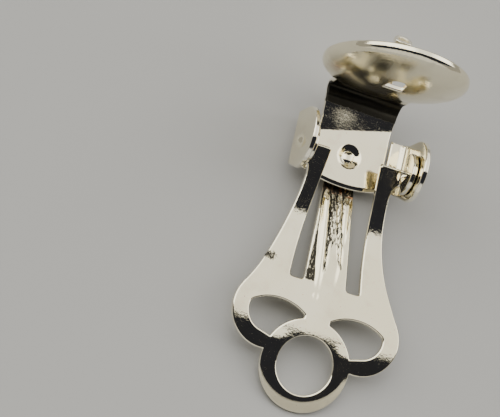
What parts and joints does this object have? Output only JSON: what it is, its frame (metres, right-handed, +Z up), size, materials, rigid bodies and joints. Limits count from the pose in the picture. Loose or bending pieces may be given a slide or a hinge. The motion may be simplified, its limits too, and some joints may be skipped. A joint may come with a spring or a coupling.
{
  "type": "clip-on earring finding",
  "caption": "Sprung clip-on earring back: a round cup with a peg for a bead or stone, hinged to a pierced trefoil paddle that presses on the ear lobe.",
  "frame": {"origin": "middle of the bounding box on the surface it rests on", "axes": "+Z up, +Y from the paddle's ring towards the cup, along the length; X is the hinge axis and the part is symmetric about X = 0"},
  "size_m": [0.011, 0.0226, 0.0109],
  "materials": {
    "front_silver": "bright silver plating on brass",
    "clip_silver": "bright silver plating on spring brass"
  },
  "bodies": {
    "front": {"cup_frame": "front_silver"},
    "clip": {"clip_paddle": "clip_silver"}
  },
  "joints": [
    {"name": "clip_hinge", "type": "hinge", "parent": "front", "child": "clip", "pos_m": [0, 0.00429, 0.00295], "axis": [-1, 0, 0], "range_deg": [0, 100]}
  ]
}
